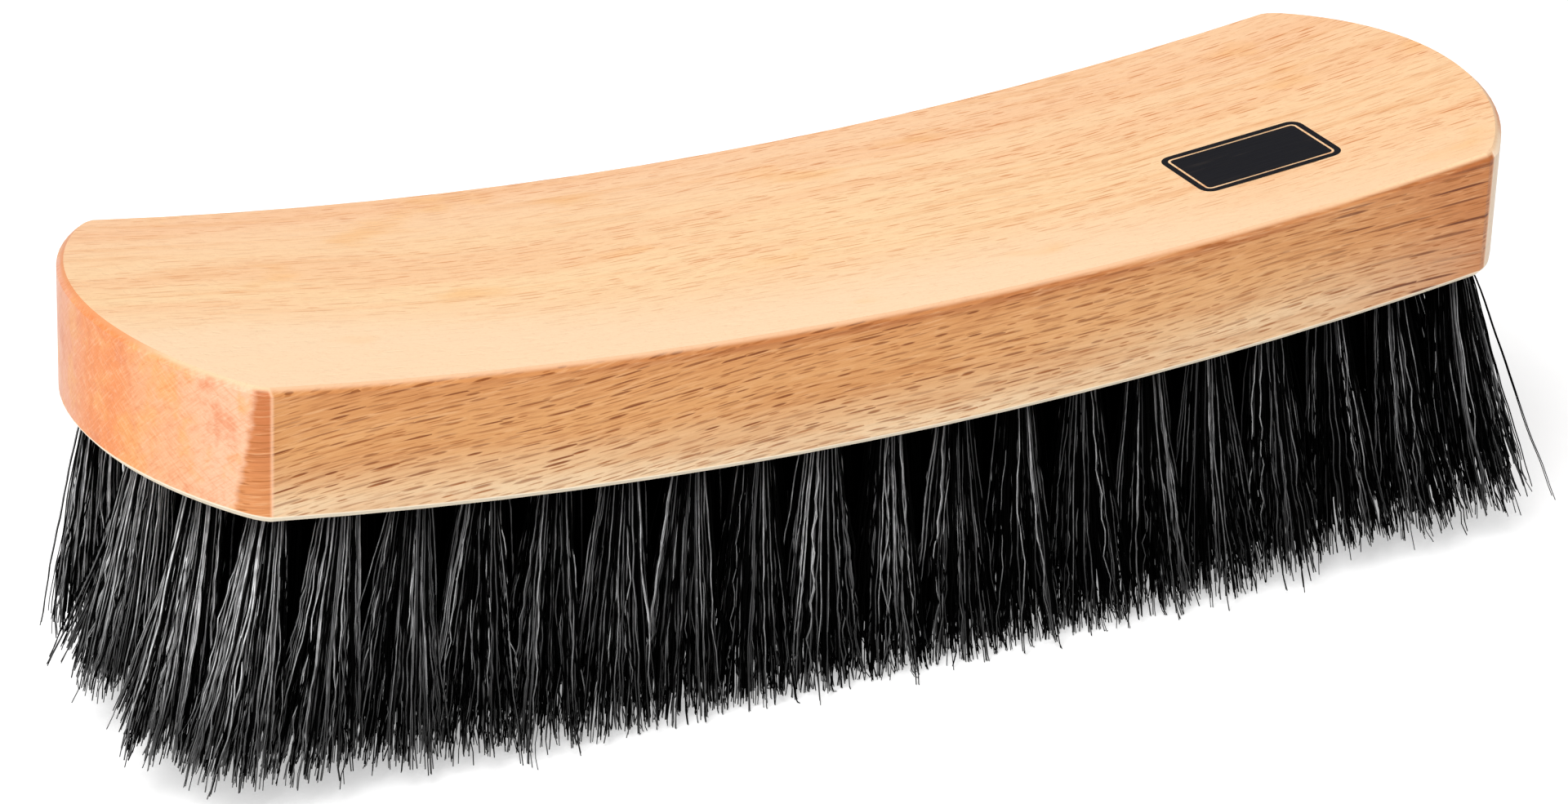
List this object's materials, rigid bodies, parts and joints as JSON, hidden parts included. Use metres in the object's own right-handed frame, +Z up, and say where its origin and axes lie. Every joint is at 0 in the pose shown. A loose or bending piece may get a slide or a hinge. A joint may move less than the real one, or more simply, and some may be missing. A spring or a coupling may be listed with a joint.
{
  "type": "shoe shine brush",
  "caption": "Hand brush with a bowed, round-ended wooden block and dense rows of dark bristle tufts that fan out below it, for polishing shoes.",
  "frame": {"origin": "centre of the brush on the surface that it stands on, under the lowest bristle tips", "axes": "+Z up from the bristle tips to the block's top face, +X along the block's length, +Y across the block"},
  "size_m": [0.1802, 0.0532, 0.0535],
  "materials": {
    "beech": "satin",
    "horsehair": "matte",
    "anchor_wire": "satin"
  },
  "bodies": {
    "root": {"anchor_row_01": "anchor_wire", "anchor_row_02": "anchor_wire", "anchor_row_03": "anchor_wire", "anchor_row_04": "anchor_wire", "anchor_row_05": "anchor_wire", "anchor_row_06": "anchor_wire", "anchor_row_07": "anchor_wire", "anchor_row_08": "anchor_wire", "anchor_row_09": "anchor_wire", "anchor_row_10": "anchor_wire", "anchor_row_11": "anchor_wire", "anchor_row_12": "anchor_wire", "anchor_row_13": "anchor_wire", "anchor_row_14": "anchor_wire", "anchor_row_15": "anchor_wire", "anchor_row_16": "anchor_wire", "anchor_row_17": "anchor_wire", "anchor_row_18": "anchor_wire", "anchor_row_19": "anchor_wire", "anchor_row_20": "anchor_wire", "block": "beech", "tuft_row_01": "horsehair", "tuft_row_02": "horsehair", "tuft_row_03": "horsehair", "tuft_row_04": "horsehair", "tuft_row_05": "horsehair", "tuft_row_06": "horsehair", "tuft_row_07": "horsehair", "tuft_row_08": "horsehair", "tuft_row_09": "horsehair", "tuft_row_10": "horsehair", "tuft_row_11": "horsehair", "tuft_row_12": "horsehair", "tuft_row_13": "horsehair", "tuft_row_14": "horsehair", "tuft_row_15": "horsehair", "tuft_row_16": "horsehair", "tuft_row_17": "horsehair", "tuft_row_18": "horsehair", "tuft_row_19": "horsehair", "tuft_row_20": "horsehair"}
  },
  "joints": []
}
